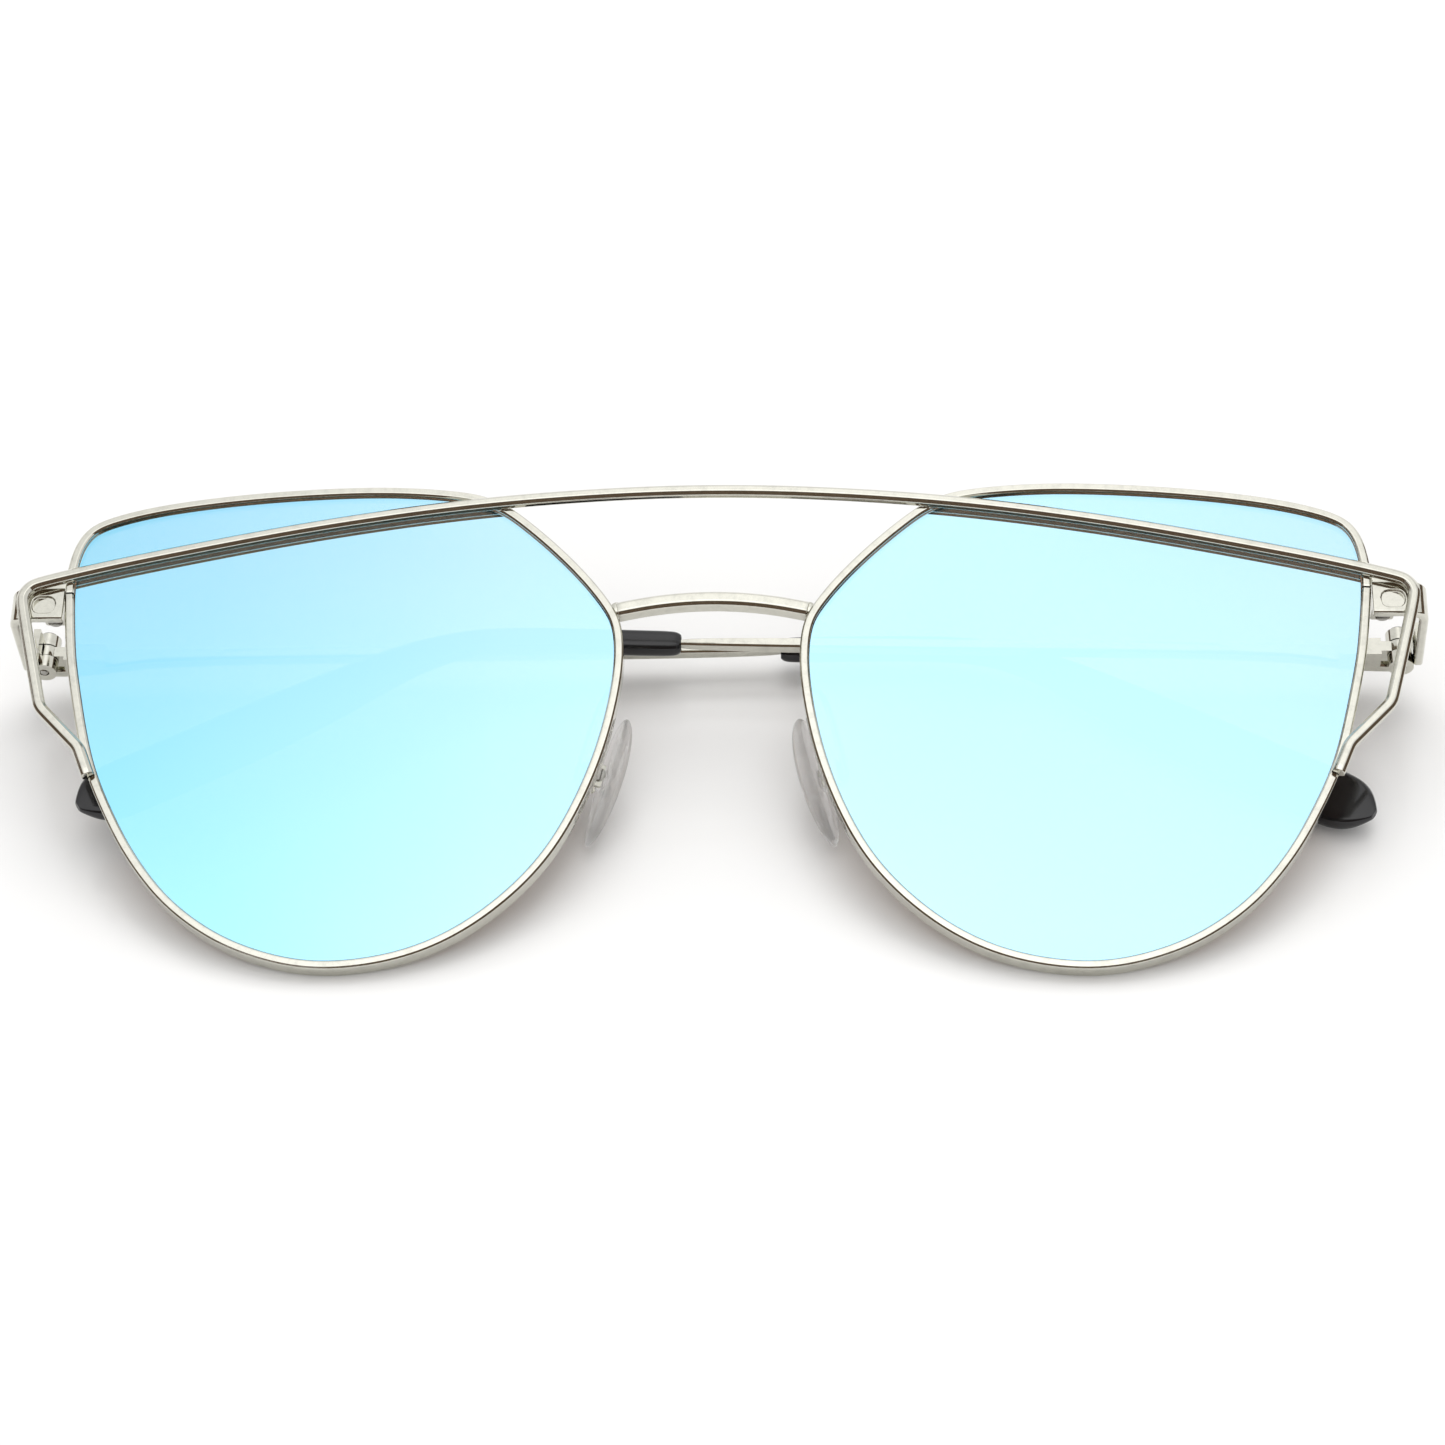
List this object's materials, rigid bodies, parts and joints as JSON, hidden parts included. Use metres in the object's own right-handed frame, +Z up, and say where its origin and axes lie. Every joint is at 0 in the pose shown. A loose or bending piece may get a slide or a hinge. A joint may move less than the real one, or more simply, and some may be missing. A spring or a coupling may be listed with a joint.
{
  "type": "sunglasses",
  "caption": "Folding wire-rim sunglasses with a brow bar, lower bridge, mirrored lenses, rocking nose pads and hinged temples with soft tips.",
  "frame": {"origin": "centre of the bounding box at the height of the surface it lies on, with both temples folded", "axes": "+X across the front towards its right end as seen by someone facing it, +Y from the lens bottoms towards the brow bar, +Z up; the front leans back 21.5 degrees from flat and the lenses face up"},
  "size_m": [0.15, 0.0532, 0.0231],
  "materials": {
    "silver_metal": "polished silver plating",
    "screw_steel": "bright screw steel",
    "mirror_lens": "sky blue mirror coating on a flat plastic lens",
    "black_plastic": "glossy black",
    "clear_silicone": "clear, smooth"
  },
  "bodies": {
    "front": {"brow_bar": "silver_metal", "bridge": "silver_metal", "rim_left": "silver_metal", "rim_right": "silver_metal", "lens_left": "mirror_lens", "lens_right": "mirror_lens", "endpiece_left": "silver_metal", "endpiece_right": "silver_metal", "rim_block_upper_left": "silver_metal", "rim_block_upper_right": "silver_metal", "rim_block_lower_left": "silver_metal", "rim_block_lower_right": "silver_metal", "rim_screw_left": "screw_steel", "rim_screw_right": "screw_steel", "hinge_knuckles_left": "silver_metal", "hinge_knuckles_right": "silver_metal", "hinge_screw_left": "screw_steel", "hinge_screw_right": "screw_steel", "pad_arm_left": "silver_metal", "pad_arm_right": "silver_metal", "pad_box_left": "silver_metal", "pad_box_right": "silver_metal", "pad_screw_left": "screw_steel", "pad_screw_right": "screw_steel"},
    "temple_left": {"hinge_tongue_left": "silver_metal", "temple_arm_left": "silver_metal", "temple_tip_left": "black_plastic"},
    "temple_right": {"hinge_tongue_right": "silver_metal", "temple_arm_right": "silver_metal", "temple_tip_right": "black_plastic"},
    "nose_pad_left": {"nose_pad_left": "clear_silicone"},
    "nose_pad_right": {"nose_pad_right": "clear_silicone"}
  },
  "joints": [
    {"name": "temple_hinge_left", "type": "hinge", "parent": "front", "child": "temple_left", "pos_m": [-0.0727, 0.01738, 0.00624], "axis": [0, 0.9724, 0.2334], "range_deg": [0, 88]},
    {"name": "temple_hinge_right", "type": "hinge", "parent": "front", "child": "temple_right", "pos_m": [0.0727, 0.01738, 0.00624], "axis": [0, -0.9724, -0.2334], "range_deg": [0, 90]},
    {"name": "pad_rock_left", "type": "hinge", "parent": "front", "child": "nose_pad_left", "pos_m": [-0.0122, -0.00116, 0.00475], "axis": [-0.4583, 0.4181, -0.7843], "range_deg": [-8, 8]},
    {"name": "pad_rock_right", "type": "hinge", "parent": "front", "child": "nose_pad_right", "pos_m": [0.0122, -0.00116, 0.00475], "axis": [-0.4583, -0.4181, 0.7843], "range_deg": [-8, 8]}
  ]
}
